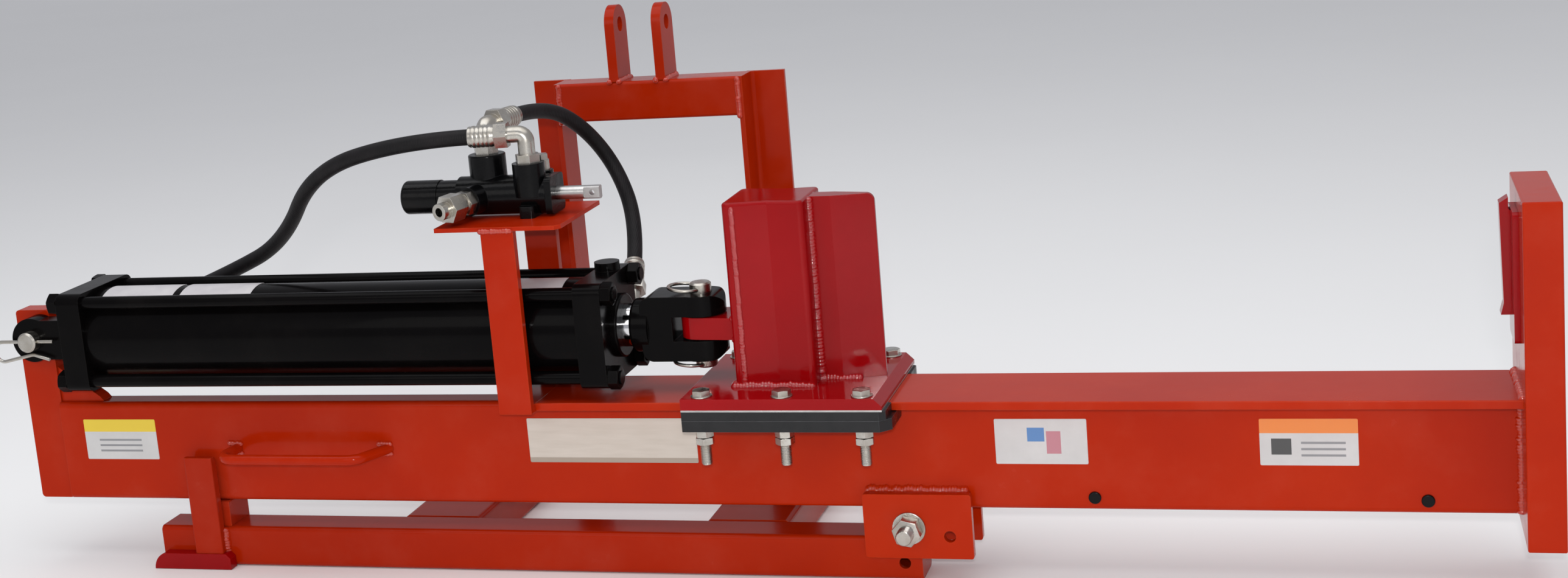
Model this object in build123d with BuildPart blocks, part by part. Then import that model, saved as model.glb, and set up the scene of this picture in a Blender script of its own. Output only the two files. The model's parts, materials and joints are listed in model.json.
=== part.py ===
from build123d import *
import math
import os

os.makedirs("parts", exist_ok=True)

# Three-point-hitch log splitter, millimetres. +X along the beam from the cylinder to the
# end plate, +Y towards the tractor, +Z up. Origin on the ground under the middle of the
# base rail, in the beam's centre plane.


def save(builder, name):
    builder.part.label = name
    export_step(builder.part, f"parts/{name}.step")


def along(origin, direction):
    return Plane(origin=origin, z_dir=direction)


# ---- driving sizes: base and hitch -----------------------------------------------------
RAIL = 50.8                 # square base tube
RAIL_WALL = 6.35
RAIL_LEN = 973.0
END_CAP = 5.0
PIVOT_INSET = 10.5          # tilt pivot back from the rail's end
BUSH_OD = 30.0
BOLT_D = 19.05              # tilt bolt
RUN_GAP = 0.07              # running clearance on the radius
UNDER_GAP = 17.5            # pivot axis to the beam's underside
LOCK_R = 47.0               # lock holes, from the pivot axis
LOCK_D = 13.5
LOCK_ANGLE = 12.0           # below level, at rest
REST_GAP = 0.2              # beam rests this close on its pad
POST_X = -416.0             # rest posts
POST_W = 38.1
BAR_T = 12.7
POST_OVERLAP = 61.0         # posts reach this far up the beam's sides
FOOT_LEN = 107.0
FOOT_H = 20.0
FOOT_T = 14.5
MEMBER_W = 101.6            # cross members under the hitch bar
MEMBER_X = (-123.0, 269.0)
ARCH_Y = 305.0              # front plane of the hitch arch
ARCH_MID = 98.5
ARCH_GAP = 243.0            # between the two uprights
ARCH_RISE = 323.0           # crossbar's top above the wear plate
ANGLE_T = 6.35
HITCH_SPREAD = 683.0        # shoulder to shoulder, category 1
HITCH_PIN_D = 22.0
HITCH_PIN_LEN = 66.0
LINCH_HOLE = 11.7
LUG_T = 12.7
LUG_GAP = 50.8
LUG_H = 98.0
TOP_PIN_D = 19.5

# ---- driving sizes: beam ---------------------------------------------------------------
BEAM_W = 38.1
BEAM_H = 127.0
BEAM_WALL = 6.35
WEAR_W = 114.3
WEAR_T = 9.5
END_W = 165.0
END_T = 38.1
END_UP = 211.0              # end plate above the wear plate
END_DOWN = 18.0             # end plate below the beam
POST_T = 25.4               # cylinder post, also the tongue
BRACKET_T = 9.5
SIDE_GAP = 0.8              # bracket plates to the rail

# ---- driving sizes: cylinder -----------------------------------------------------------
BASE_PIN_X = -626.0
STROKE = 609.6
PIN_SPAN = 870.0            # pin to pin, retracted
BORE = 101.6
TUBE_WALL = 6.35
CAP = 124.0
BASE_CAP = (57.0, 89.0)     # from the base pin
HEAD_T = 33.0
PORT_R = 15.0               # bosses round the ports
TIE_D = 15.9
ROD_D = 50.8
PIN_D = 25.4
CYL_RISE = 78.0             # cylinder axis above the wear plate
EAR_R = 28.0
EAR_GAP = 28.6
EAR_OUT = 76.0              # across the clevis ears

# ---- driving sizes: carriage -----------------------------------------------------------
SLIDE_W = 190.5
SLIDE_LEN = 230.0
SLIDE_T = 12.7
LINER_T = 2.0
SLIDE_GAP = 0.4
SPACER_T = WEAR_T + 1.0
KEEPER_T = 12.7
WEDGE_H = 212.0
WEDGE_W = 89.0
BLADE_T = 25.4
TIP_GAP = 46.0              # blade's tip to the end rib, fully out
M12 = 12.7
HOSE_D = 19.0

# ---- derived places --------------------------------------------------------------------
pivot = (RAIL_LEN / 2 - PIVOT_INSET, RAIL + BUSH_OD / 2)
beam_z = pivot[1] + UNDER_GAP
tube_top = beam_z + BEAM_H
top = tube_top + WEAR_T
cyl_z = top + CYL_RISE
rod_pin_x = BASE_PIN_X + PIN_SPAN
tube_x = BASE_PIN_X + 11.4
slide_x = rod_pin_x - 6.0
wedge_x = rod_pin_x + 45.0
tip_x = wedge_x + 167.0
end_x = tip_x + STROKE + TIP_GAP + 16.0
slide_z = top + SLIDE_GAP + LINER_T
blade_z = slide_z + SLIDE_T
keep_z = top + SLIDE_GAP - SPACER_T
arch_top = top + ARCH_RISE
hitch_z = RAIL + RAIL / 2
arch_mid_y = ARCH_Y + RAIL / 2
head_x = BASE_PIN_X + BASE_CAP[1] + STROKE + 36.4
bracket_x = head_x - 100.0
tie = CAP / 2 - TIE_D / 2 - 4.5
corners = [(sy * tie, cyl_z + sz * tie) for sy in (-1, 1) for sz in (-1, 1)]


# ---- base frame ------------------------------------------------------------------------
lock = math.radians(LOCK_ANGLE)
lock_rest = (pivot[0] + LOCK_R * math.cos(lock), pivot[1] - LOCK_R * math.sin(lock))
lock_rail = (pivot[0] - LOCK_R * math.sin(lock), pivot[1] - LOCK_R * math.cos(lock))

with BuildPart() as base_rail:
    with BuildSketch(Plane.YZ.offset(-RAIL_LEN / 2)):
        with Locations((0, RAIL / 2)):
            RectangleRounded(RAIL, RAIL, 6)
    extrude(amount=RAIL_LEN)
    with BuildSketch(Plane.YZ.offset(END_CAP - RAIL_LEN / 2)):
        with Locations((0, RAIL / 2)):
            Rectangle(RAIL - 2 * RAIL_WALL, RAIL - 2 * RAIL_WALL)
    extrude(amount=RAIL_LEN - 2 * END_CAP, mode=Mode.SUBTRACT)
    with BuildSketch(Plane.XZ):
        with Locations(lock_rail):
            Circle(LOCK_D / 2)
    extrude(amount=RAIL, both=True, mode=Mode.SUBTRACT)
save(base_rail, "base_rail")

with BuildPart() as pivot_bushing:
    with BuildSketch(Plane.XZ):
        with Locations(pivot):
            Circle(BUSH_OD / 2)
        with Locations((pivot[0], RAIL + 4)):
            Rectangle(0.7 * BUSH_OD, 8)
        with Locations(pivot):
            Circle(BOLT_D / 2 + RUN_GAP, mode=Mode.SUBTRACT)
    extrude(amount=RAIL / 2, both=True)
save(pivot_bushing, "pivot_bushing")

post_top = beam_z + POST_OVERLAP
with BuildPart() as rest_posts:
    with BuildSketch(Plane.YZ.offset(POST_X - POST_W / 2)):
        for side in (-1, 1):
            with BuildLine():
                Polyline((side * RAIL / 2, FOOT_H), (side * (RAIL / 2 + BAR_T), FOOT_H),
                         (side * (RAIL / 2 + BAR_T), post_top), (side * (RAIL / 2 + 5), post_top),
                         (side * RAIL / 2, post_top - 9), close=True)
            make_face()
    extrude(amount=POST_W)
    fillet(rest_posts.edges().filter_by(Axis.Z), 2)
save(rest_posts, "rest_posts")

with BuildPart() as rest_pad:
    with BuildSketch(Plane.XY.offset(RAIL)):
        with Locations((POST_X + 4, 0)):
            Rectangle(POST_W + 8, RAIL - 6)
    extrude(amount=beam_z - REST_GAP - RAIL)
    chamfer(rest_pad.edges().group_by(Axis.Z)[-1], 1.5)
save(rest_pad, "rest_pad")

with BuildPart() as foot_bars:
    for side in (-1, 1):
        with BuildSketch(Plane.XZ.offset(-side * RAIL / 2)):
            with BuildLine():
                Polyline((POST_X - 78, 0), (POST_X - 78 + FOOT_LEN, 0),
                         (POST_X - 78 + FOOT_LEN, FOOT_H - 6), (POST_X - 84 + FOOT_LEN, FOOT_H),
                         (POST_X - 64, FOOT_H))
                RadiusArc((POST_X - 64, FOOT_H), (POST_X - 78, 0), -22)
            make_face()
        extrude(amount=-side * FOOT_T)
save(foot_bars, "foot_bars")

with BuildPart() as cross_members:
    with BuildSketch(Plane.XZ.offset(-RAIL / 2)):
        for x in MEMBER_X:
            with Locations((x, RAIL / 2)):
                RectangleRounded(MEMBER_W, RAIL, 6)
            with Locations((x, RAIL / 2)):
                Rectangle(MEMBER_W - 2 * RAIL_WALL, RAIL - 2 * RAIL_WALL, mode=Mode.SUBTRACT)
    extrude(amount=-(ARCH_Y + RAIL - RAIL / 2))
save(cross_members, "cross_members")

hitch_len = HITCH_SPREAD - 2 * 8.0
with BuildPart() as hitch_bar:
    with BuildSketch(Plane.YZ.offset(ARCH_MID - hitch_len / 2)):
        with Locations((arch_mid_y, hitch_z)):
            RectangleRounded(RAIL, RAIL, 6)
            Rectangle(RAIL - 2 * RAIL_WALL, RAIL - 2 * RAIL_WALL, mode=Mode.SUBTRACT)
    extrude(amount=hitch_len)
    for x in (ARCH_MID - hitch_len / 2, ARCH_MID + hitch_len / 2 - 8):
        with BuildSketch(Plane.YZ.offset(x)):
            with Locations((arch_mid_y, hitch_z)):
                Rectangle(RAIL - RAIL_WALL, RAIL - RAIL_WALL)
        extrude(amount=8)
save(hitch_bar, "hitch_bar")

with BuildPart() as hitch_pins:
    for side in (-1, 1):
        face = ARCH_MID + side * hitch_len / 2
        with BuildSketch(along((face, arch_mid_y, hitch_z), (side, 0, 0))):
            Circle(18)
        extrude(amount=8)
        with BuildSketch(along((face + side * 8, arch_mid_y, hitch_z), (side, 0, 0))):
            Circle(HITCH_PIN_D / 2)
        extrude(amount=HITCH_PIN_LEN)
        tip = along((face + side * (8 + HITCH_PIN_LEN), arch_mid_y, hitch_z), (side, 0, 0))
        chamfer(hitch_pins.edges().filter_by(GeomType.CIRCLE).sort_by_distance(tip.origin)[0], 2.5)
        with BuildSketch(Plane.XY.offset(hitch_z)):
            with Locations((face + side * (8 + 52), arch_mid_y)):
                Circle(LINCH_HOLE / 2)
        extrude(amount=RAIL, both=True, mode=Mode.SUBTRACT)
save(hitch_pins, "hitch_pins")

upright_z = hitch_z + RAIL / 2
with BuildPart() as arch_uprights:
    with BuildSketch(Plane.XY.offset(upright_z)):
        for side in (-1, 1):
            x = ARCH_MID + side * ARCH_GAP / 2
            with BuildLine():
                Polyline((x, ARCH_Y), (x + side * ANGLE_T, ARCH_Y),
                         (x + side * ANGLE_T, ARCH_Y + RAIL - ANGLE_T),
                         (x + side * RAIL, ARCH_Y + RAIL - ANGLE_T),
                         (x + side * RAIL, ARCH_Y + RAIL), (x, ARCH_Y + RAIL), close=True)
            make_face()
    extrude(amount=arch_top - upright_z)
    fillet(arch_uprights.edges().filter_by(Axis.Z).filter_by(
        lambda e: abs(e.center().Y - (ARCH_Y + RAIL - ANGLE_T)) < 0.1
        and abs(abs(e.center().X - ARCH_MID) - ARCH_GAP / 2 - ANGLE_T) < 0.1), 5)
save(arch_uprights, "arch_uprights")

with BuildPart() as arch_crossbar:
    with BuildSketch(Plane.YZ.offset(ARCH_MID - ARCH_GAP / 2)):
        with Locations((arch_mid_y, arch_top - RAIL / 2)):
            RectangleRounded(RAIL, RAIL, 4)
            Rectangle(RAIL - 2 * ANGLE_T, RAIL - 2 * ANGLE_T, mode=Mode.SUBTRACT)
    extrude(amount=ARCH_GAP)
save(arch_crossbar, "arch_crossbar")

lug_mid = ARCH_MID - 12.0
hole_z = arch_top + LUG_H - RAIL / 2
with BuildPart() as top_link_lugs:
    for side in (-1, 1):
        near = lug_mid + side * LUG_GAP / 2
        with BuildSketch(along((near, arch_mid_y, hole_z), (side, 0, 0))):
            Circle(RAIL / 2)
        extrude(amount=LUG_T)
        with BuildSketch(Plane.XY.offset(arch_top)):
            with Locations((near + side * LUG_T / 2, arch_mid_y)):
                Rectangle(LUG_T, RAIL)
        extrude(amount=hole_z - arch_top)
    with BuildSketch(along((lug_mid - LUG_GAP, arch_mid_y, hole_z), (1, 0, 0))):
        Circle(TOP_PIN_D / 2)
    extrude(amount=2 * LUG_GAP, mode=Mode.SUBTRACT)
save(top_link_lugs, "top_link_lugs")

# ---- beam ------------------------------------------------------------------------------
with BuildPart() as beam_tube:
    with BuildSketch(Plane.YZ.offset(tube_x)):
        with Locations((0, beam_z + BEAM_H / 2)):
            RectangleRounded(BEAM_W, BEAM_H, 7)
    extrude(amount=end_x - tube_x)
    with BuildSketch(Plane.YZ.offset(tube_x + END_CAP)):
        with Locations((0, beam_z + BEAM_H / 2)):
            Rectangle(BEAM_W - 2 * BEAM_WALL, BEAM_H - 2 * BEAM_WALL)
    extrude(amount=end_x - tube_x - 2 * END_CAP, mode=Mode.SUBTRACT)
save(beam_tube, "beam_tube")

leg_x = (bracket_x, bracket_x + 40.0)
with BuildPart() as wear_plate:
    with BuildSketch(Plane.XY.offset(tube_top)):
        with Locations(((leg_x[1] + end_x) / 2, 0)):
            Rectangle(end_x - leg_x[1], WEAR_W)
    extrude(amount=WEAR_T)
    chamfer(wear_plate.edges().filter_by(Axis.X), 0.8)
save(wear_plate, "wear_plate")

with BuildPart() as cylinder_post:
    with BuildSketch(Plane.XZ):
        with Locations(((BASE_PIN_X - 36 + tube_x) / 2, (beam_z + cyl_z + 33) / 2)):
            RectangleRounded(tube_x - BASE_PIN_X + 36, cyl_z + 33 - beam_z, 5)
        with Locations((BASE_PIN_X, cyl_z)):
            Circle(PIN_D / 2 + 0.3, mode=Mode.SUBTRACT)
    extrude(amount=POST_T / 2, both=True)
save(cylinder_post, "cylinder_post")

with BuildPart() as post_gusset:
    with BuildSketch(Plane.XZ):
        with BuildLine():
            Polyline((tube_x, tube_top), (tube_x + 60, tube_top), (tube_x + 55, tube_top + 6),
                     (tube_x, tube_top + 45), close=True)
        make_face()
    extrude(amount=0.375 * POST_T, both=True)
save(post_gusset, "post_gusset")

with BuildPart() as end_plate:
    with BuildSketch(Plane.YZ.offset(end_x)):
        with Locations((0, (beam_z - END_DOWN + top + END_UP) / 2)):
            Rectangle(END_W, top + END_UP - beam_z + END_DOWN)
    extrude(amount=END_T)
    fillet(end_plate.edges(), 2)
save(end_plate, "end_plate")

with BuildPart() as end_pad:
    with BuildSketch(Plane.YZ.offset(end_x - 6)):
        with Locations((-6, top + 122)):
            RectangleRounded(62, 138, 6)
    extrude(amount=6)
save(end_pad, "end_pad")

with BuildPart() as end_rib:
    with BuildSketch(Plane.XZ):
        with BuildLine():
            Polyline((end_x - 6, top + 78), (end_x - 17, top + 78), (end_x - 14, top + 90),
                     (end_x - 16, top + 160), (end_x - 17, top + 196), (end_x - 8, top + 202),
                     (end_x - 8, top + 190), (end_x - 6, top + 188), close=True)
        make_face()
    extrude(amount=9.5, both=True)
save(end_rib, "end_rib")

inner = RAIL / 2 + SIDE_GAP
plate_top = beam_z + 22
with BuildPart() as pivot_brackets:
    for side in (-1, 1):
        with BuildSketch(Plane.XZ.offset(-side * inner)):
            with Locations((pivot[0] + 10, (pivot[1] - 36 + plate_top) / 2)):
                RectangleRounded(124, plate_top - pivot[1] + 36, 3)
            with Locations(pivot):
                Circle(BOLT_D / 2 + 0.3, mode=Mode.SUBTRACT)
            with Locations(lock_rest):
                Circle(LOCK_D / 2, mode=Mode.SUBTRACT)
        extrude(amount=-side * BRACKET_T)
        with BuildSketch(Plane.XZ.offset(-side * BEAM_W / 2)):
            with Locations((pivot[0] + 10, (beam_z + 8 + plate_top) / 2)):
                Rectangle(118, plate_top - beam_z - 8)
        extrude(amount=-side * (inner - BEAM_W / 2))
save(pivot_brackets, "pivot_brackets")

outer = inner + BRACKET_T
with BuildPart() as pivot_bolt:
    with BuildSketch(along((pivot[0], outer, pivot[1]), (0, 1, 0))):
        RegularPolygon(14.3, 6, major_radius=False)
    extrude(amount=12)
    with BuildSketch(along((pivot[0], outer, pivot[1]), (0, -1, 0))):
        Circle(BOLT_D / 2)
    extrude(amount=2 * outer + 35)
    chamfer(pivot_bolt.edges().group_by(Axis.Y)[0], 1.5)
save(pivot_bolt, "pivot_bolt")

with BuildPart() as pivot_nut:
    with BuildSketch(along((pivot[0], -outer, pivot[1]), (0, -1, 0))):
        Circle(19)
        Circle(BOLT_D / 2, mode=Mode.SUBTRACT)
    extrude(amount=3)
    with BuildSketch(along((pivot[0], -outer - 3, pivot[1]), (0, -1, 0))):
        RegularPolygon(14.3, 6, major_radius=False)
        Circle(BOLT_D / 2, mode=Mode.SUBTRACT)
    extrude(amount=17)
save(pivot_nut, "pivot_nut")

handle_z = top - 68.0
handle_y = -BEAM_W / 2
with BuildPart() as lift_handle:
    with BuildLine():
        FilletPolyline((BASE_PIN_X + 259, handle_y + 8, handle_z),
                       (BASE_PIN_X + 254, handle_y - 46, handle_z),
                       (BASE_PIN_X + 440, handle_y - 46, handle_z),
                       (BASE_PIN_X + 466, handle_y + 8, handle_z), radius=20)
    with BuildSketch(along((BASE_PIN_X + 259, handle_y + 8, handle_z), (-5, -54, 0))):
        Circle(6.35)
    sweep()
    with BuildSketch(Plane.XZ.offset(BEAM_W / 2)):
        with Locations((BASE_PIN_X + 360, handle_z)):
            Rectangle(300, 30)
    extrude(amount=-20, mode=Mode.SUBTRACT)
save(lift_handle, "lift_handle")

with BuildPart() as beam_plugs:
    for x in (end_x - 443.6, end_x - 93.6):
        with BuildSketch(Plane.XZ.offset(BEAM_W / 2)):
            with Locations((x, beam_z + 15)):
                Circle(7)
        extrude(amount=2.5)
    fillet(beam_plugs.edges().group_by(Axis.Y)[0], 1.2)
save(beam_plugs, "beam_plugs")

# centres of the decals along the beam, measured from the cylinder's base pin
with BuildPart() as small_decals:
    with BuildSketch(Plane.XZ.offset(BEAM_W / 2)):
        for x in (95.0, 1254.0, 1540.0):
            with Locations((BASE_PIN_X + x, top - 57)):
                RectangleRounded(102, 52, 1.5)
    extrude(amount=0.3)
save(small_decals, "small_decals")

with BuildPart() as long_decal:
    with BuildSketch(Plane.XZ.offset(BEAM_W / 2)):
        with Locations((BASE_PIN_X + 750.5, top - 57)):
            RectangleRounded(209, 54, 1.5)
    extrude(amount=0.3)
save(long_decal, "long_decal")

# ---- cylinder --------------------------------------------------------------------------
tube_r = BORE / 2 + TUBE_WALL
base_face = BASE_PIN_X + BASE_CAP[1]
with BuildPart() as cylinder_tube:
    with BuildSketch(along((base_face, 0, cyl_z), (1, 0, 0))):
        Circle(tube_r)
        Circle(BORE / 2, mode=Mode.SUBTRACT)
    extrude(amount=head_x - base_face)
save(cylinder_tube, "cylinder_tube")

port_x = (BASE_PIN_X + (BASE_CAP[0] + BASE_CAP[1]) / 2, head_x + HEAD_T / 2)
with BuildPart() as base_cap:
    with BuildSketch(Plane.YZ.offset(BASE_PIN_X + BASE_CAP[0])):
        with Locations((0, cyl_z)):
            RectangleRounded(CAP, CAP, 12)
        with Locations(*corners):
            Circle(TIE_D / 2 + 0.3, mode=Mode.SUBTRACT)
    extrude(amount=BASE_CAP[1] - BASE_CAP[0])
    with BuildSketch(along((port_x[0], 0, cyl_z), (0, 1, 0))):
        Circle(PORT_R)
    extrude(amount=CAP / 2 + 6)
save(base_cap, "base_cap")

with BuildPart() as base_clevis:
    with BuildSketch(Plane.XZ):
        with Locations((BASE_PIN_X, cyl_z)):
            Circle(EAR_R)
        with Locations((BASE_PIN_X + BASE_CAP[0] / 2, cyl_z)):
            Rectangle(BASE_CAP[0], 2 * EAR_R - 6)
    extrude(amount=EAR_OUT / 2, both=True)
    with BuildSketch(Plane.XZ):
        with Locations((BASE_PIN_X - 3, cyl_z)):
            Rectangle(2 * (EAR_R + 5), 2 * EAR_R + 2)
    extrude(amount=EAR_GAP / 2, both=True, mode=Mode.SUBTRACT)
    with BuildSketch(Plane.XZ):
        with Locations((BASE_PIN_X, cyl_z)):
            Circle(PIN_D / 2 + 0.3)
    extrude(amount=EAR_OUT, both=True, mode=Mode.SUBTRACT)
save(base_clevis, "base_clevis")

with BuildPart() as base_pin:
    with BuildSketch(along((BASE_PIN_X, -EAR_OUT / 2 - 14, cyl_z), (0, 1, 0))):
        Circle(PIN_D / 2)
    extrude(amount=EAR_OUT + 28)
    chamfer(base_pin.edges().filter_by(GeomType.CIRCLE), 2)
    for side in (-1, 1):
        with BuildSketch(along((BASE_PIN_X - 20, side * (EAR_OUT / 2 + 6.5), cyl_z), (1, 0, 0))):
            Circle(2.4)
        extrude(amount=40, mode=Mode.SUBTRACT)
save(base_pin, "base_pin")

with BuildPart() as base_pin_clips:
    for side in (-1, 1):
        y = side * (EAR_OUT / 2 + 6.5)
        with BuildLine() as wire:
            FilletPolyline((BASE_PIN_X + 34, y, cyl_z), (BASE_PIN_X - 50, y, cyl_z),
                           (BASE_PIN_X - 50, y, cyl_z - 28), (BASE_PIN_X + 4, y, cyl_z - 16.5),
                           (BASE_PIN_X + 26, y, cyl_z - 23), radius=11)
        with BuildSketch(along(wire.line @ 0, wire.line % 0)):
            Circle(2.2)
        sweep()
save(base_pin_clips, "base_pin_clips")

with BuildPart() as head_cap:
    with BuildSketch(Plane.YZ.offset(head_x)):
        with Locations((0, cyl_z)):
            RectangleRounded(CAP, CAP, 12)
            Circle(ROD_D / 2 + 0.5, mode=Mode.SUBTRACT)
        with Locations(*corners):
            Circle(TIE_D / 2 + 0.3, mode=Mode.SUBTRACT)
    extrude(amount=HEAD_T)
    with BuildSketch(along((port_x[1], CAP / 2 - 8, cyl_z), (0, 1, 0))):
        Circle(PORT_R)
    extrude(amount=14)
    with BuildSketch(along((port_x[1], 20, cyl_z + CAP / 2 - 4), (0, 0, 1))):
        Circle(PORT_R)
    extrude(amount=14)
save(head_cap, "head_cap")

with BuildPart() as rod_gland:
    with BuildSketch(along((head_x + HEAD_T, 0, cyl_z), (1, 0, 0))):
        Circle(ROD_D / 2 + 12)
        Circle(ROD_D / 2 + RUN_GAP, mode=Mode.SUBTRACT)
    extrude(amount=8)
    fillet(rod_gland.edges().group_by(Axis.X)[-1].sort_by(SortBy.RADIUS)[-1], 2.5)
save(rod_gland, "rod_gland")

tie_ends = (BASE_PIN_X + BASE_CAP[0] - 15, head_x + HEAD_T + 15)
with BuildPart() as tie_rods:
    with BuildSketch(Plane.YZ.offset(tie_ends[0])):
        with Locations(*corners):
            Circle(TIE_D / 2)
    extrude(amount=tie_ends[1] - tie_ends[0])
save(tie_rods, "tie_rods")

with BuildPart() as tie_nuts:
    for x in (tie_ends[0] + 2, tie_ends[1] - 15):
        with BuildSketch(Plane.YZ.offset(x)):
            with Locations(*corners):
                RegularPolygon(12, 6, major_radius=False)
            with Locations(*corners):
                Circle(TIE_D / 2, mode=Mode.SUBTRACT)
        extrude(amount=13)
save(tie_nuts, "tie_nuts")

# ---- valve on its bracket --------------------------------------------------------------
shelf_z = top + 213.0
leg_in = CAP / 2 - 0.5
leg_out = leg_in + BRACKET_T
shelf_t = 5.0
with BuildPart() as valve_legs:
    for side in (-1, 1):
        with BuildSketch(Plane.YZ.offset(leg_x[0])):
            with BuildLine():
                Polyline((side * BEAM_W / 2, tube_top), (side * leg_out, tube_top),
                         (side * leg_out, shelf_z - shelf_t), (side * leg_in, shelf_z - shelf_t),
                         (side * leg_in, top), (side * BEAM_W / 2, top), close=True)
            make_face()
        extrude(amount=leg_x[1] - leg_x[0])
    with BuildSketch(Plane.XY.offset(tube_top)):
        with Locations(((leg_x[0] + leg_x[1]) / 2, 0)):
            Rectangle(leg_x[1] - leg_x[0], BEAM_W)
    extrude(amount=WEAR_T)
save(valve_legs, "valve_legs")

shelf = (bracket_x - 57.0, bracket_x + 96.0)
with BuildPart() as valve_shelf:
    with BuildSketch(Plane.XY.offset(shelf_z - shelf_t)):
        with BuildLine():
            Polyline((shelf[0], -leg_out), (shelf[1] - 6, -leg_out), (shelf[1], -leg_out + 8),
                     (shelf[1], leg_out), (shelf[0], leg_out), close=True)
        make_face()
    extrude(amount=shelf_t)
save(valve_shelf, "valve_shelf")

INLET_BOSS = 33.0
valve_y = 2.0
valve_z = shelf_z + 24.0
body_x = (bracket_x - 75.0, bracket_x + 71.0)
port_a = (bracket_x - 17.0, valve_y + 10, shelf_z + 72)
port_b = (bracket_x + 42.0, valve_y - 10, shelf_z + 63)
spool_r = 8.0
inlet_dir = Vector(-0.35, -0.93, -0.05).normalized()
relief_x = body_x[1] - 26.0
relief_y = valve_y + 22.0
with BuildPart() as valve_body:
    with BuildSketch(along((body_x[0], valve_y, valve_z), (1, 0, 0))):
        Circle(19)
    extrude(amount=26)
    with BuildSketch(along((body_x[0] + 26, valve_y, valve_z), (1, 0, 0))):
        Circle(23)
    extrude(amount=body_x[1] - body_x[0] - 34)
    with BuildSketch(along((body_x[1] - 8, valve_y, valve_z), (1, 0, 0))):
        RectangleRounded(44, 44, 6)
    extrude(amount=8)
    for x in (body_x[0] + 15, body_x[1] - 30):
        with BuildSketch(Plane.XY.offset(shelf_z)):
            with Locations((x, valve_y)):
                RectangleRounded(19, 60, 5)
        extrude(amount=14)
    with BuildSketch(along((port_a[0], port_a[1], valve_z), (0, 0, 1))):
        Circle(22)
    extrude(amount=port_a[2] - valve_z)
    with BuildSketch(along((port_b[0], port_b[1], valve_z), (0, 0, 1))):
        Circle(19)
    extrude(amount=port_b[2] - valve_z)
    with BuildSketch(along((port_a[0], valve_y, valve_z), inlet_dir)):
        Circle(17)
    extrude(amount=INLET_BOSS)
    with BuildSketch(along((relief_x, relief_y, valve_z), (0, 0, 1))):
        Circle(14)
    extrude(amount=24)
    with BuildSketch(along((body_x[0] - 1, valve_y, valve_z), (1, 0, 0))):
        Circle(spool_r + 0.05)
    extrude(amount=200, mode=Mode.SUBTRACT)
    fillet(valve_body.edges().group_by(Axis.Z)[-1], 2)
save(valve_body, "valve_body")

with BuildPart() as relief_cap:
    with BuildSketch(along((relief_x, relief_y, valve_z + 24), (0, 0, 1))):
        Circle(10)
    extrude(amount=12)
    with BuildSketch(along((relief_x, relief_y, valve_z + 36), (0, 0, 1))):
        RegularPolygon(8, 6, major_radius=False)
    extrude(amount=7)
save(relief_cap, "relief_cap")

with BuildPart() as detent_cap:
    with BuildSketch(along((body_x[0], valve_y, valve_z), (-1, 0, 0))):
        Circle(20)
    extrude(amount=46)
    fillet(detent_cap.edges().group_by(Axis.X)[0], 4)
    with BuildSketch(along((body_x[0], valve_y, valve_z), (-1, 0, 0))):
        Circle(11)
    extrude(amount=38, mode=Mode.SUBTRACT)
save(detent_cap, "detent_cap")

spool_end = bracket_x + 124.0
with BuildPart() as valve_spool:
    with BuildSketch(along((body_x[0] - 22, valve_y, valve_z), (1, 0, 0))):
        Circle(spool_r)
    extrude(amount=spool_end - body_x[0] + 22)
    with BuildSketch(Plane.XZ.offset(-valve_y)):
        with Locations((spool_end - 9, valve_z)):
            Circle(3.2)
    extrude(amount=20, both=True, mode=Mode.SUBTRACT)
    for side in (-1, 1):
        with BuildSketch(Plane.XZ.offset(-valve_y - side * 5)):
            with Locations((spool_end - 9, valve_z)):
                Rectangle(19, 20)
        extrude(amount=-side * 10, mode=Mode.SUBTRACT)
save(valve_spool, "valve_spool")

inlet_at = Vector(port_a[0], valve_y, valve_z) + inlet_dir * INLET_BOSS
with BuildPart() as inlet_fitting:
    for start, length, radius, sides in ((0, 10, 13, 6), (10, 8, 11.5, 0), (18, 20, 15, 6), (38, 12, 10, 0)):
        with BuildSketch(along(inlet_at + inlet_dir * start, inlet_dir)):
            if sides:
                RegularPolygon(radius, sides, major_radius=False)
            else:
                Circle(radius)
        extrude(amount=length)
    with BuildSketch(along(inlet_at + inlet_dir * 50, -inlet_dir)):
        Circle(5.5)
    extrude(amount=30, mode=Mode.SUBTRACT)
save(inlet_fitting, "inlet_fitting")

# ---- hydraulic fittings and hoses ------------------------------------------------------
# each fitting: a port, the way out of the port, the height of the bend, the way the hose
# leaves, and the lengths of the arm, the swivel nut and the crimped ferrule
ARM, NUT, FERRULE = 20.0, 15.0, 32.0


def unit(x, y, z):
    return Vector(x, y, z).normalized()


fittings = {
    "valve_a": (Vector(*port_a), Vector(0, 0, 1), 34.0, unit(0.2, 0.98, 0)),
    "valve_b": (Vector(*port_b), Vector(0, 0, 1), 34.0, unit(-0.985, -0.17, 0)),
    "base_port": (Vector(port_x[0], CAP / 2 + 6, cyl_z), Vector(0, 1, 0), 27.0, unit(0.94, 0, 0.342)),
    "head_port": (Vector(port_x[1], CAP / 2 + 6, cyl_z), Vector(0, 1, 0), 27.0, unit(-0.15, 0.75, 0.6)),
}
with BuildPart() as hose_elbows:
    for port, out, rise, leave in fittings.values():
        bend = port + out * rise
        with BuildSketch(along(port, out)):
            RegularPolygon(13, 6, major_radius=False)
        extrude(amount=10)
        with BuildLine() as path:
            FilletPolyline(port + out * 8, bend, bend + leave * ARM, radius=9)
        with BuildSketch(along(port + out * 8, out)):
            Circle(10)
        sweep(path=path.line)
        with BuildSketch(along(bend + leave * ARM, leave)):
            RegularPolygon(14, 6, major_radius=False)
        extrude(amount=NUT)
save(hose_elbows, "hose_elbows")

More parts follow.
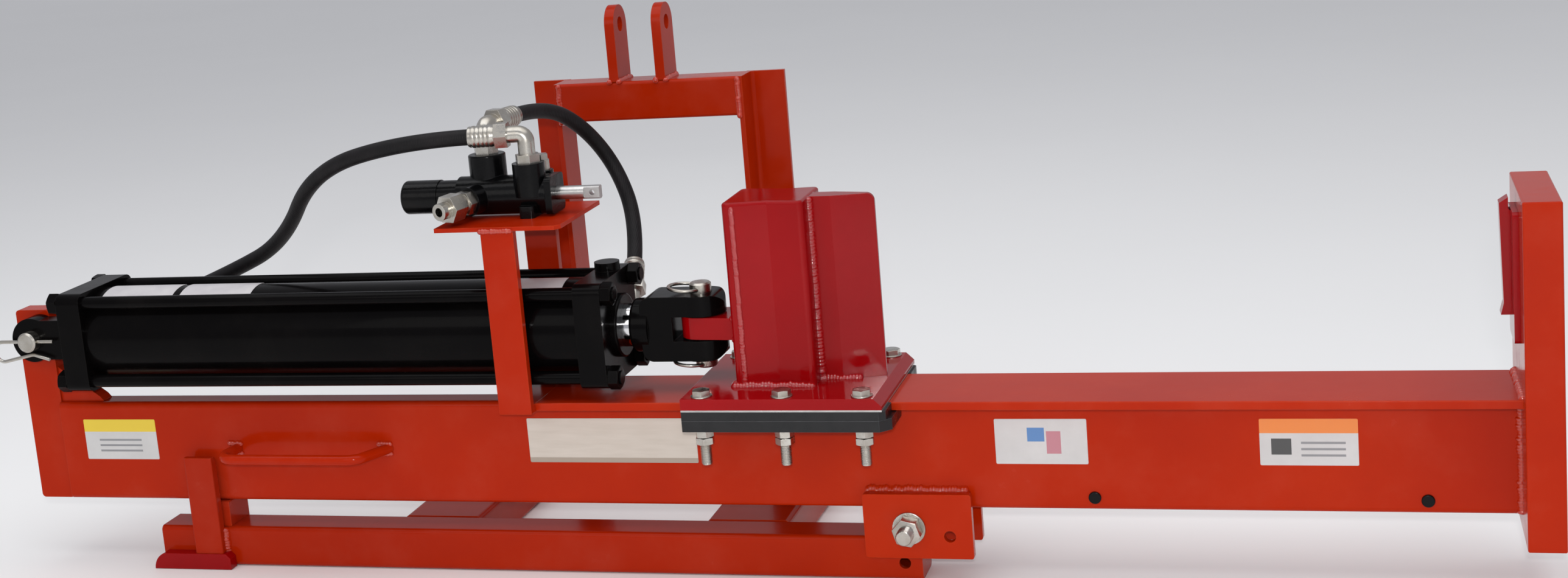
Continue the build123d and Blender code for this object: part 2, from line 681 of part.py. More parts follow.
with BuildPart() as hose_ferrules:
    for port, out, rise, leave in fittings.values():
        with BuildSketch(along(port + out * rise + leave * (ARM + NUT), leave)):
            Circle(13)
        extrude(amount=FERRULE)
    fillet(hose_ferrules.edges().filter_by(GeomType.CIRCLE), 1.5)
save(hose_ferrules, "hose_ferrules")

hose_end = {name: (port + out * rise + leave * (ARM + NUT + FERRULE), leave)
            for name, (port, out, rise, leave) in fittings.items()}


def hose(name, first, last, lead, leave_run, arrive_run):
    start, way = hose_end[first]
    end, back = hose_end[last]
    leaving = start + way * lead
    arriving = end + back * lead
    middle = (arriving - leaving).normalized()
    points = [start, leaving, leaving + (way + middle).normalized() * leave_run,
              arriving + (back - middle).normalized() * arrive_run, arriving, end]
    radii = []
    for a, b, c in zip(points, points[1:], points[2:]):
        turn = math.radians((b - a).get_angle(c - b))
        radii.append(0.45 * min((b - a).length, (c - b).length) / math.tan(turn / 2))
    with BuildPart() as tube:
        with BuildLine() as route:
            FilletPolyline(*points, radius=radii)
        with BuildSketch(along(start, way)):
            Circle(HOSE_D / 2)
        sweep()
    save(tube, name)
    length = sum(edge.length for edge in route.edges())
    area = math.pi * HOSE_D ** 2 / 4
    print(name, "length", round(length, 1), "radii", [round(r) for r in radii],
          "volume ratio", round(tube.part.volume / (area * length), 4))
    print(name, "points", [(round(p.X, 1), round(p.Y, 1), round(p.Z, 1)) for p in points])


hose("hose_base", "valve_b", "base_port", 80, 130, 104)
hose("hose_head", "valve_a", "head_port", 68, 70, 74)

# ---- ram and carriage ------------------------------------------------------------------
piston_x = base_face + 1.0
rod_end = rod_pin_x - 52.0
with BuildPart() as piston:
    with BuildSketch(along((piston_x, 0, cyl_z), (1, 0, 0))):
        Circle(BORE / 2 - RUN_GAP)
    extrude(amount=25)
save(piston, "piston")

with BuildPart() as piston_rod:
    with BuildSketch(along((piston_x + 25, 0, cyl_z), (1, 0, 0))):
        Circle(ROD_D / 2)
    extrude(amount=rod_end - piston_x - 25)
save(piston_rod, "piston_rod")

with BuildPart() as rod_clevis:
    with BuildSketch(Plane.XY.offset(cyl_z)):
        with Locations((rod_pin_x, 0)):
            Circle(EAR_R)
        with Locations((rod_pin_x - 34, 0)):
            Rectangle(68, 2 * EAR_R - 4)
    extrude(amount=EAR_OUT / 2, both=True)
    with BuildSketch(Plane.XZ):
        with Locations(((2 * rod_pin_x + EAR_R - 68) / 2, cyl_z)):
            RectangleRounded(EAR_R + 68, EAR_OUT, 13)
    extrude(amount=EAR_R, both=True, mode=Mode.INTERSECT)
    with BuildSketch(along((rod_pin_x - 82, 0, cyl_z), (1, 0, 0))):
        Circle(ROD_D / 2 + 6)
    extrude(amount=22)
    fillet(rod_clevis.edges().group_by(Axis.X)[0], 4)
    with BuildSketch(Plane.XY.offset(cyl_z)):
        with Locations((rod_pin_x + 3, 0)):
            Rectangle(2 * (EAR_R + 5), 2 * EAR_R + 2)
    extrude(amount=EAR_GAP / 2, both=True, mode=Mode.SUBTRACT)
    with BuildSketch(Plane.XY.offset(cyl_z)):
        with Locations((rod_pin_x, 0)):
            Circle(PIN_D / 2 + 0.3)
    extrude(amount=EAR_OUT, both=True, mode=Mode.SUBTRACT)
    with BuildSketch(along((rod_pin_x - 82, 0, cyl_z), (1, 0, 0))):
        Circle(ROD_D / 2)
    extrude(amount=rod_end - rod_pin_x + 82, mode=Mode.SUBTRACT)
save(rod_clevis, "rod_clevis")

rings = [Plane(origin=(rod_pin_x - 18, -3, cyl_z + side * (EAR_OUT / 2 + 6)), x_dir=(1, 0, -0.1),
               z_dir=(0.1, 0, 1)) for side in (-1, 1)]
with BuildPart() as rod_pin:
    with BuildSketch(along((rod_pin_x, 0, cyl_z - EAR_OUT / 2 - 12), (0, 0, 1))):
        Circle(PIN_D / 2)
    extrude(amount=EAR_OUT + 24)
    chamfer(rod_pin.edges().filter_by(GeomType.CIRCLE), 2)
    for ring in rings:
        with BuildSketch(Plane(origin=ring.origin + ring.x_dir * 19, x_dir=ring.x_dir, z_dir=ring.y_dir)):
            Circle(2.3)
        revolve(axis=Axis(ring.origin, ring.z_dir), mode=Mode.SUBTRACT)
save(rod_pin, "rod_pin")

with BuildPart() as rod_pin_rings:
    for ring in rings:
        with BuildSketch(Plane(origin=ring.origin + ring.x_dir * 19, x_dir=ring.x_dir, z_dir=ring.y_dir)):
            Circle(2)
        revolve(axis=Axis(ring.origin, ring.z_dir))
save(rod_pin_rings, "rod_pin_rings")

with BuildPart() as tongue:
    with BuildSketch(Plane.XY.offset(cyl_z - POST_T / 2)):
        with BuildLine():
            Polyline((wedge_x, -EAR_R), (wedge_x, EAR_R), (rod_pin_x, EAR_R - 3))
            RadiusArc((rod_pin_x, EAR_R - 3), (rod_pin_x, -EAR_R + 3), -(EAR_R - 3))
            Line((rod_pin_x, -EAR_R + 3), (wedge_x, -EAR_R))
        make_face()
        with Locations((rod_pin_x, 0)):
            Circle(PIN_D / 2 + 0.3, mode=Mode.SUBTRACT)
    extrude(amount=POST_T)
save(tongue, "tongue")

with BuildPart() as slide_plate:
    with BuildSketch(Plane.XZ):
        with BuildLine():
            Polyline((slide_x, slide_z), (slide_x + SLIDE_LEN, slide_z), (slide_x + SLIDE_LEN, slide_z + 4),
                     (slide_x + SLIDE_LEN - 9, blade_z), (slide_x, blade_z), close=True)
        make_face()
    extrude(amount=SLIDE_W / 2, both=True)

with BuildPart() as slide_liner:
    with BuildSketch(Plane.XY.offset(top + SLIDE_GAP)):
        with Locations((slide_x + SLIDE_LEN / 2, 0)):
            Rectangle(SLIDE_LEN, SLIDE_W)
    extrude(amount=LINER_T)

spacer_in = WEAR_W / 2 + 1.0
with BuildPart() as spacer_bars:
    for side in (-1, 1):
        with BuildSketch(Plane.XY.offset(keep_z)):
            with BuildLine():
                Polyline((slide_x, side * spacer_in), (slide_x + SLIDE_LEN + 3, side * spacer_in),
                         (slide_x + SLIDE_LEN + 3, side * (SLIDE_W / 2 - 5)),
                         (slide_x + SLIDE_LEN - 4, side * SLIDE_W / 2), (slide_x, side * SLIDE_W / 2), close=True)
            make_face()
        extrude(amount=SPACER_T)

keeper_in = BEAM_W / 2 + 13.0
with BuildPart() as keeper_bars:
    for side in (-1, 1):
        with BuildSketch(Plane.XY.offset(keep_z - KEEPER_T)):
            with BuildLine():
                Polyline((slide_x, side * keeper_in), (slide_x + SLIDE_LEN + 8, side * keeper_in),
                         (slide_x + SLIDE_LEN + 8, side * (SLIDE_W / 2 - 12)),
                         (slide_x + SLIDE_LEN - 4, side * SLIDE_W / 2), (slide_x, side * SLIDE_W / 2), close=True)
            make_face()
        extrude(amount=KEEPER_T)

bolt_y = SLIDE_W / 2 - 13.0
bolt_places = [(slide_x + x, side * bolt_y) for side in (-1, 1) for x in (22, 115, 206)]
for holed, name in ((slide_plate, "slide_plate"), (slide_liner, "slide_liner"),
                    (spacer_bars, "spacer_bars"), (keeper_bars, "keeper_bars")):
    with holed:
        with BuildSketch(Plane.XY.offset(keep_z - KEEPER_T)):
            with Locations(*bolt_places):
                Circle(M12 / 2 + 0.3)
        extrude(amount=60, mode=Mode.SUBTRACT)
    save(holed, name)

with BuildPart() as slide_bolts:
    with BuildSketch(Plane.XY.offset(keep_z - KEEPER_T - 41)):
        with Locations(*bolt_places):
            Circle(M12 / 2)
    extrude(amount=blade_z - keep_z + KEEPER_T + 41)
    with BuildSketch(Plane.XY.offset(blade_z)):
        with Locations(*bolt_places):
            RegularPolygon(9.5, 6, major_radius=False)
    extrude(amount=8)
save(slide_bolts, "slide_bolts")

with BuildPart() as slide_nuts:
    with BuildSketch(Plane.XY.offset(keep_z - KEEPER_T - 17)):
        with Locations(*bolt_places):
            RegularPolygon(9.5, 6, major_radius=False)
        with Locations(*bolt_places):
            Circle(M12 / 2, mode=Mode.SUBTRACT)
    extrude(amount=17)
save(slide_nuts, "slide_nuts")

half = WEDGE_W / 2
box_end = wedge_x + 94.0
with BuildPart() as wedge_body:
    with BuildSketch(Plane.XY.offset(blade_z)):
        with BuildLine():
            Polyline((wedge_x, -half), (wedge_x + 13, -half), (wedge_x + 52, -half + 7),
                     (box_end, -half + 1), (box_end, half - 1), (wedge_x + 52, half - 7),
                     (wedge_x + 13, half), (wedge_x, half), close=True)
        make_face()
    extrude(amount=WEDGE_H)
    fillet(wedge_body.edges().filter_by(Axis.Z).group_by(Axis.X)[0], 8)
    fillet(wedge_body.edges().filter_by(Axis.Z).group_by(Axis.X)[-1], 6)
    fillet(wedge_body.edges().group_by(Axis.Z)[-1], 3.5)
save(wedge_body, "wedge_body")

bevel_x = wedge_x + 119.0
with BuildPart() as wedge_blade:
    with BuildSketch(Plane.XY.offset(blade_z)):
        with BuildLine():
            Polyline((box_end, -BLADE_T / 2), (bevel_x, -BLADE_T / 2), (tip_x, -2), (tip_x, 2),
                     (bevel_x, BLADE_T / 2), (box_end, BLADE_T / 2), close=True)
        make_face()
    extrude(amount=WEDGE_H - 1)
    corner = wedge_blade.edges().filter_by(Axis.Y).sort_by(lambda e: -e.center().X - e.center().Z)[0]
    fillet(corner, 9)
save(wedge_blade, "wedge_blade")
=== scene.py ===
# %% [markdown]
# # Tractor-mounted log splitter
# The steel frame, beam, cylinder, valve and carriage come from CAD as a fixed frame of named nodes. This
# script gives them paint, rubber, zinc and vinyl, and adds what a welder and a fitter add: weld beads,
# chamfered nuts, threads, crimped ferrules and labels. The size of the CAD model is measured and printed.

# %% Load the frame
import bpy
import json
import math
import random
from mathutils import Matrix, Vector


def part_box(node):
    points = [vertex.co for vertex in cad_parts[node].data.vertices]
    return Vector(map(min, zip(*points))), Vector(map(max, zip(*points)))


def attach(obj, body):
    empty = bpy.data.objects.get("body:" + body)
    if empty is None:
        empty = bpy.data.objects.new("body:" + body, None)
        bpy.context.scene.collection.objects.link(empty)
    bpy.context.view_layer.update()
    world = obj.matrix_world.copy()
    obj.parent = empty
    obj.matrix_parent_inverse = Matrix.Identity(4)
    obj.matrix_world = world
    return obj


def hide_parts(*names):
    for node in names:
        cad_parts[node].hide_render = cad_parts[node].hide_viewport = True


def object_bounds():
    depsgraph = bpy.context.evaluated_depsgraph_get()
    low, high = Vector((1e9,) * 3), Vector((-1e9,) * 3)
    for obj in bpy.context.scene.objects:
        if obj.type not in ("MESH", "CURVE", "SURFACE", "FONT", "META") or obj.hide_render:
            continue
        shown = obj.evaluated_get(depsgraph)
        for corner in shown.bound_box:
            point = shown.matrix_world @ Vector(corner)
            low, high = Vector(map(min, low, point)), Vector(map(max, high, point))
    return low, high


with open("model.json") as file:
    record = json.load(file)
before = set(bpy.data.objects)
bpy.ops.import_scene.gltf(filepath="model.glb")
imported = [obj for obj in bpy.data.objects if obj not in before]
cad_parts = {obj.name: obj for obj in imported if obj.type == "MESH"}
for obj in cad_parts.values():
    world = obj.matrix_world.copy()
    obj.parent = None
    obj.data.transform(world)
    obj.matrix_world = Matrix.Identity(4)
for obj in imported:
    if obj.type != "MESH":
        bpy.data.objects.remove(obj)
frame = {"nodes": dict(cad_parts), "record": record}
nodes = frame["nodes"]
cad_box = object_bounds()
print("CAD box", [round(v, 3) for v in (*cad_box[0], *cad_box[1])])

# %% [markdown]
# ## Camera
# The whole length of the machine is seen from a little right of its middle, at chest height, with a
# normal lens. The camera's turn is built from three plain rotations, so each can be read by itself: yaw
# to the left, pitch down and a slight roll.

# %% Make the camera
camera_place = Vector((0.965, -2.261, 0.885))
yaw, pitch, roll = 0.290, -0.180, -0.086
level = Matrix(((1, 0, 0), (0, 0, -1), (0, 1, 0)))
turn = Matrix.Rotation(yaw, 3, "Z") @ level @ Matrix.Rotation(pitch, 3, "X") @ Matrix.Rotation(roll, 3, "Z")
camera_data = bpy.data.cameras.new("camera")
camera_data.sensor_width = 36.0
camera_data.lens = 48.5
camera_data.shift_x = 0.0341
camera_data.shift_y = -0.0642
camera = bpy.data.objects.new("camera", camera_data)
camera.matrix_world = Matrix.Translation(camera_place) @ turn.to_4x4()
bpy.context.scene.collection.objects.link(camera)
bpy.context.scene.camera = camera
print("camera at", tuple(round(v, 3) for v in camera_place))

# %% [markdown]
# ## Hoses
# Two hydraulic hoses run from the valve to the cylinder: one to the base port, in a long lazy curve, and
# one to the head port, in a short loop behind the valve. A hose is stiff, so a curve object with a round
# bevel is the right tool: one smooth NURBS line with few control points bends as a real hose does. The
# bevel is one metre and each point's radius scales it down, because Blender's box of a curve uses radii.

# %% A hose from its route
def make_hose(name, route, diameter):
    curve = bpy.data.curves.new(name, "CURVE")
    curve.dimensions = "3D"
    curve.bevel_depth = 1.0
    curve.bevel_resolution = 6
    curve.resolution_u = 24
    curve.render_resolution_u = 24
    curve.use_fill_caps = True
    spline = curve.splines.new("NURBS")
    spline.points.add(len(route) - 1)
    for point, place in zip(spline.points, route):
        point.co = (*place, 1)
        point.radius = diameter / 2
    spline.order_u = 3
    spline.use_endpoint_u = True
    hose = bpy.data.objects.new(name, curve)
    bpy.context.scene.collection.objects.link(hose)
    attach(hose, "beam")
    return hose


HOSE_D = 0.019
base_route = [(-0.0150, -0.0194, 0.5298), (-0.0939, -0.0330, 0.5298), (-0.2193, -0.0221, 0.4975),
              (-0.3216, 0.0777, 0.3908), (-0.4149, 0.0950, 0.3481), (-0.4900, 0.0950, 0.3207)]
head_route = [(0.0054, 0.0776, 0.5388), (0.0190, 0.1443, 0.5388), (0.0467, 0.1979, 0.5034),
              (0.0773, 0.2206, 0.4464), (0.1047, 0.1992, 0.3811), (0.1152, 0.1467, 0.3392)]
hose_to_base = make_hose("hose_to_base", base_route, HOSE_D)
hose_to_head = make_hose("hose_to_head", head_route, HOSE_D)
for hose, node, route, length in ((hose_to_base, "hose_base", base_route, 0.564),
                                  (hose_to_head, "hose_head", head_route, 0.341)):
    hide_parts(node)
print("hoses", hose_to_base.name, hose_to_head.name)

# %% [markdown]
# ## Shared effects for the materials
# Three effects are used by many finishes, so each is a node group built once. `edges` finds the corners
# of the steel with a Bevel node: it gives a rounded normal and a mask that is bright along edges. `peel`
# is the fine dimpled skin of sprayed paint or the grain of a casting, as a bumped normal. `film` is a slow
# patchy variation that stands for dust, handling and uneven spray.

# %% A small helper for node groups
def new_group(name, inputs, outputs):
    group = bpy.data.node_groups.new(name, "ShaderNodeTree")
    for socket, kind, value in inputs:
        made = group.interface.new_socket(name=socket, in_out="INPUT", socket_type=kind)
        if value is not None:
            made.default_value = value
    for socket, kind in outputs:
        group.interface.new_socket(name=socket, in_out="OUTPUT", socket_type=kind)
    start = group.nodes.new("NodeGroupInput")
    end = group.nodes.new("NodeGroupOutput")
    return group, start, end


def math_node(tree, operation, first, second=None, clamp=False):
    node = tree.nodes.new("ShaderNodeMath")
    node.operation = operation
    node.use_clamp = clamp
    for index, value in enumerate((first, second)):
        if value is None:
            continue
        if isinstance(value, (int, float)):
            node.inputs[index].default_value = value
        else:
            tree.links.new(value, node.inputs[index])
    return node.outputs[0]


def ramp(tree, value, low, high):
    node = tree.nodes.new("ShaderNodeMapRange")
    node.inputs["From Min"].default_value = low
    node.inputs["From Max"].default_value = high
    tree.links.new(value, node.inputs["Value"])
    return node.outputs["Result"]


def noise(tree, scale, detail=3.0, roughness=0.5):
    place = tree.nodes.new("ShaderNodeTexCoord")
    node = tree.nodes.new("ShaderNodeTexNoise")
    node.inputs["Detail"].default_value = detail
    node.inputs["Roughness"].default_value = roughness
    if isinstance(scale, (int, float)):
        node.inputs["Scale"].default_value = scale
    else:
        tree.links.new(scale, node.inputs["Scale"])
    tree.links.new(place.outputs["Object"], node.inputs["Vector"])
    return node.outputs["Fac"]


# %% Edges, peel and film
FLOAT, VECTOR = "NodeSocketFloat", "NodeSocketVector"

edges_group, start, end = new_group("edges", [("Radius", FLOAT, 0.0012), ("Ragged", FLOAT, 0.5)],
                                    [("Edge", FLOAT), ("Normal", VECTOR)])
bevel = edges_group.nodes.new("ShaderNodeBevel")
bevel.samples = 4
geometry = edges_group.nodes.new("ShaderNodeNewGeometry")
dot = edges_group.nodes.new("ShaderNodeVectorMath")
dot.operation = "DOT_PRODUCT"
edges_group.links.new(start.outputs["Radius"], bevel.inputs["Radius"])
edges_group.links.new(bevel.outputs["Normal"], dot.inputs[0])
edges_group.links.new(geometry.outputs["Normal"], dot.inputs[1])
bright = ramp(edges_group, dot.outputs["Value"], 0.995, 0.80)
ragged = math_node(edges_group, "MULTIPLY", ramp(edges_group, noise(edges_group, 90.0, 4), 0.35, 0.62),
                   start.outputs["Ragged"])
kept = math_node(edges_group, "SUBTRACT", 1.0, ragged)
edges_group.links.new(math_node(edges_group, "MULTIPLY", bright, kept, clamp=True), end.inputs["Edge"])
edges_group.links.new(bevel.outputs["Normal"], end.inputs["Normal"])

peel_group, start, end = new_group(
    "peel", [("Scale", FLOAT, 700.0), ("Depth", FLOAT, 0.00004), ("Normal", VECTOR, None)],
    [("Normal", VECTOR), ("Height", FLOAT)])
fine = noise(peel_group, start.outputs["Scale"], 2.0)
slow = noise(peel_group, 45.0, 2.0)
height = math_node(peel_group, "ADD", fine, math_node(peel_group, "MULTIPLY", slow, 3.0))
bump = peel_group.nodes.new("ShaderNodeBump")
bump.inputs["Strength"].default_value = 1.0
peel_group.links.new(start.outputs["Depth"], bump.inputs["Distance"])
peel_group.links.new(height, bump.inputs["Height"])
peel_group.links.new(start.outputs["Normal"], bump.inputs["Normal"])
peel_group.links.new(bump.outputs["Normal"], end.inputs["Normal"])
peel_group.links.new(fine, end.inputs["Height"])

film_group, start, end = new_group(
    "film", [("Scale", FLOAT, 6.0), ("Low", FLOAT, 0.35), ("High", FLOAT, 0.75)], [("Mask", FLOAT)])
patches = film_group.nodes.new("ShaderNodeMapRange")
film_group.links.new(noise(film_group, start.outputs["Scale"], 6.0, 0.6), patches.inputs["Value"])
film_group.links.new(start.outputs["Low"], patches.inputs["From Min"])
film_group.links.new(start.outputs["High"], patches.inputs["From Max"])
film_group.links.new(patches.outputs["Result"], end.inputs["Mask"])
print("effects", edges_group.name, peel_group.name, film_group.name)

# %% [markdown]
# ## Finishes
# Sprayed enamel is a colour under a clear, hard gloss, so the paints use the Principled shader's coat. The
# colour drifts slowly between two tones, thins to a lighter red along edges, and carries a light film of
# dust that dulls the gloss. Bare metals differ in tone, roughness, grain and the tone of a painted
# highlight along their edges, so one function makes each of them.

# %% Helpers that place a group and mix colours
def place_group(tree, group, **values):
    node = tree.nodes.new("ShaderNodeGroup")
    node.node_tree = group
    for name, value in values.items():
        if isinstance(value, (int, float)):
            node.inputs[name].default_value = value
        else:
            tree.links.new(value, node.inputs[name])
    return node


def mix_colour(tree, mask, first, second):
    node = tree.nodes.new("ShaderNodeMix")
    node.data_type = "RGBA"
    tree.links.new(mask, node.inputs["Factor"])
    for socket, value in ((node.inputs[6], first), (node.inputs[7], second)):
        if isinstance(value, tuple):
            socket.default_value = (*value, 1)
        else:
            tree.links.new(value, socket)
    return node.outputs[2]


def new_material(name):
    material = bpy.data.materials.new(name)
    material.use_nodes = True
    shader = material.node_tree.nodes["Principled BSDF"]
    return material, material.node_tree, shader


# %% Sprayed enamel
def enamel(name, deep, light, edge_tone, dust=0.03, rough=(0.16, 0.34), depth=0.00005, peel=650.0,
           gloss=0.07):
    material, tree, shader = new_material(name)
    edges = place_group(tree, edges_group, Radius=0.0013, Ragged=0.6)
    skin = place_group(tree, peel_group, Scale=peel, Depth=depth, Normal=edges.outputs["Normal"])
    drift = place_group(tree, film_group, Scale=3.5, Low=0.3, High=0.7)
    dusty = place_group(tree, film_group, Scale=14.0, Low=0.50, High=0.80)
    colour = mix_colour(tree, drift.outputs["Mask"], deep, light)
    thin = math_node(tree, "MULTIPLY", edges.outputs["Edge"], 0.55)
    colour = mix_colour(tree, thin, colour, edge_tone)
    veil = math_node(tree, "MULTIPLY", dusty.outputs["Mask"], dust)
    colour = mix_colour(tree, veil, colour, (0.42, 0.33, 0.28))
    tree.links.new(colour, shader.inputs["Base Color"])
    rough_node = tree.nodes.new("ShaderNodeMapRange")
    rough_node.inputs["To Min"].default_value = rough[0]
    rough_node.inputs["To Max"].default_value = rough[1]
    tree.links.new(dusty.outputs["Mask"], rough_node.inputs["Value"])
    tree.links.new(rough_node.outputs["Result"], shader.inputs["Roughness"])
    tree.links.new(skin.outputs["Normal"], shader.inputs["Normal"])
    shader.inputs["Coat Weight"].default_value = gloss
    shader.inputs["Coat Roughness"].default_value = 0.06
    shader.inputs["Specular IOR Level"].default_value = gloss
    return material


# %% Bare and plated metal
def metal(name, tone, second, rough=(0.22, 0.42), grain=900.0, depth=0.00003, metallic=1.0, edge_tone=None):
    material, tree, shader = new_material(name)
    edges = place_group(tree, edges_group, Radius=0.0006, Ragged=0.4)
    skin = place_group(tree, peel_group, Scale=grain, Depth=depth, Normal=edges.outputs["Normal"])
    patch = place_group(tree, film_group, Scale=60.0, Low=0.35, High=0.68)
    colour = mix_colour(tree, patch.outputs["Mask"], tone, second)
    # The edges are mixed to a lighter tone: a painted highlight along the corners of the metal.
    painted_edge_highlight = edge_tone or tuple(min(1, 1.4 * v) for v in tone)
    colour = mix_colour(tree, edges.outputs["Edge"], colour, painted_edge_highlight)
    tree.links.new(colour, shader.inputs["Base Color"])
    rough_node = tree.nodes.new("ShaderNodeMapRange")
    rough_node.inputs["To Min"].default_value = rough[0]
    rough_node.inputs["To Max"].default_value = rough[1]
    tree.links.new(patch.outputs["Mask"], rough_node.inputs["Value"])
    tree.links.new(rough_node.outputs["Result"], shader.inputs["Roughness"])
    tree.links.new(skin.outputs["Normal"], shader.inputs["Normal"])
    shader.inputs["Metallic"].default_value = metallic
    return material


# %% The machine's finishes
red_edge, crimson_edge = (0.72, 0.10, 0.02), (0.55, 0.02, 0.02)
fresh_bead = {"dust": 0.0, "rough": (0.04, 0.12)}
finishes = {
    "frame_paint": enamel("frame_enamel", (0.33, 0.013, 0.001), (0.40, 0.019, 0.001), (0.70, 0.09, 0.02)),
    "beam_paint": enamel("beam_enamel", (0.37, 0.014, 0.001), (0.45, 0.022, 0.001), red_edge),
    "crimson_paint": enamel("crimson_enamel", (0.24, 0.001, 0.002), (0.32, 0.001, 0.003), crimson_edge,
                            dust=0.004, rough=(0.08, 0.2), depth=0.00004, gloss=0.11),
    "red_bead": enamel("beam_bead_enamel", (0.40, 0.014, 0.001), (0.48, 0.022, 0.001), red_edge,
                       **fresh_bead, gloss=0.6),
    "crimson_bead": enamel("crimson_bead_enamel", (0.30, 0.001, 0.002), (0.38, 0.001, 0.003), crimson_edge,
                           **fresh_bead, gloss=0.7),
    "cylinder_black": enamel("black_enamel", (0.001, 0.0008, 0.001), (0.003, 0.0025, 0.0025),
                             (0.02, 0.018, 0.016), dust=0.004, rough=(0.2, 0.34), gloss=0.04),
    "cast_black": enamel("black_casting", (0.001, 0.001, 0.0012), (0.004, 0.004, 0.0045), (0.02, 0.02, 0.02),
                         dust=0.01, rough=(0.24, 0.42), depth=0.0002, peel=420.0, gloss=0.10),
    "rod_chrome": metal("hard_chrome", (0.72, 0.72, 0.73), (0.66, 0.66, 0.67), rough=(0.05, 0.12),
                        depth=0.00001),
    "zinc_steel": metal("zinc_plate", (0.52, 0.50, 0.46), (0.40, 0.37, 0.32), rough=(0.20, 0.42)),
    "bare_steel": metal("ground_steel", (0.55, 0.54, 0.53), (0.42, 0.41, 0.40), rough=(0.25, 0.45)),
    # The mill scale is near black; its pale edge tone is a painted highlight, a light line along the spacer's
    # edges.
    "spacer_steel": metal("mill_scale", (0.006, 0.006, 0.007), (0.012, 0.012, 0.013), rough=(0.25, 0.5),
                          metallic=0.3, edge_tone=(0.16, 0.16, 0.17)),
}
print("finishes", sorted(finishes))

# %% [markdown]
# ## Hose rubber
# Wrapped hydraulic hose has a matt cover with the faint spiral print of the cloth it was cured in. A band
# pattern over Object coordinates, broken up by noise, gives that without any unwrapping.

# %% Hose rubber
material, tree, shader = new_material("hose_cover")
patch = place_group(tree, film_group, Scale=40.0, Low=0.35, High=0.7)
place = tree.nodes.new("ShaderNodeTexCoord")
wrap = tree.nodes.new("ShaderNodeTexWave")
wrap.inputs["Scale"].default_value = 160.0
wrap.inputs["Distortion"].default_value = 3.0
wrap.inputs["Detail"].default_value = 2.0
tree.links.new(place.outputs["Object"], wrap.inputs["Vector"])
skin = place_group(tree, peel_group, Scale=1400.0, Depth=0.00005)
cover_bump = tree.nodes.new("ShaderNodeBump")
cover_bump.inputs["Strength"].default_value = 0.5
cover_bump.inputs["Distance"].default_value = 0.0003
tree.links.new(wrap.outputs["Fac"], cover_bump.inputs["Height"])
tree.links.new(skin.outputs["Normal"], cover_bump.inputs["Normal"])
tree.links.new(cover_bump.outputs["Normal"], shader.inputs["Normal"])
tree.links.new(mix_colour(tree, patch.outputs["Mask"], (0.004, 0.0035, 0.004), (0.010, 0.008, 0.009)),
               shader.inputs["Base Color"])
shader.inputs["Roughness"].default_value = 0.52
shader.inputs["Specular IOR Level"].default_value = 0.2
finishes["hose_rubber"] = material
for hose in (hose_to_base, hose_to_head):
    hose.data.materials.append(material)
print("rubber on", len(hose_to_base.data.materials), "slot")

# %% [markdown]
# ## Decals
# The beam carries printed vinyl: small white ones with a coloured header band, and a long one printed like
# a pale plank. Their print is drawn with thresholds on Object coordinates, so every edge is crisp, and no
# lettering is drawn.

# %% Decal vinyl
def above(tree, value, limit):
    return math_node(tree, "GREATER_THAN", value, limit)


def vinyl(name):
    material, tree, shader = new_material(name)
    place = tree.nodes.new("ShaderNodeTexCoord")
    split = tree.nodes.new("ShaderNodeSeparateXYZ")
    tree.links.new(place.outputs["Object"], split.inputs[0])
    shader.inputs["Roughness"].default_value = 0.28
    shader.inputs["Coat Weight"].default_value = 0.3
    return material, tree, shader, split.outputs["X"], split.outputs["Z"]


low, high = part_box("small_decals")
header_z = high.z - 0.016
material, tree, shader, x, z = vinyl("decal_white_vinyl")
speckle = place_group(tree, film_group, Scale=25.0, Low=0.3, High=0.75)
colour = mix_colour(tree, speckle.outputs["Mask"], (0.62, 0.61, 0.60), (0.55, 0.54, 0.53))
header = above(tree, z, header_z)
rear = math_node(tree, "LESS_THAN", x, 0.0)
last = above(tree, x, 0.80)
colour = mix_colour(tree, math_node(tree, "MULTIPLY", header, rear), colour, (0.78, 0.56, 0.03))
colour = mix_colour(tree, math_node(tree, "MULTIPLY", header, last), colour, (0.78, 0.22, 0.03))


def between(value, start, stop):
    past_stop = above(tree, math_node(tree, "MULTIPLY", value, -1.0), -stop)
    return math_node(tree, "MULTIPLY", above(tree, value, start), past_stop)


def patch_on(colour, from_x, to_x, from_z, to_z, tone):
    box = math_node(tree, "MULTIPLY", between(x, from_x, to_x), between(z, from_z, to_z))
    return mix_colour(tree, box, colour, tone)


BAR_STEP, BAR_TALL, bar_grey = 0.007, 0.0025, (0.25, 0.25, 0.26)
colour = patch_on(colour, 0.613, 0.632, low.z + 0.026, low.z + 0.042, (0.09, 0.22, 0.48))
colour = patch_on(colour, 0.634, 0.650, low.z + 0.012, low.z + 0.038, (0.50, 0.20, 0.24))
colour = patch_on(colour, 0.875, 0.896, low.z + 0.012, low.z + 0.030, (0.05, 0.05, 0.05))
for row in range(3):
    bar_z = low.z + 0.010 + BAR_STEP * row
    for from_x, to_x in ((0.906, 0.952), (-0.562, -0.502)):
        colour = patch_on(colour, from_x, to_x, bar_z, bar_z + BAR_TALL, bar_grey)
tree.links.new(colour, shader.inputs["Base Color"])
finishes["decal_white"] = material

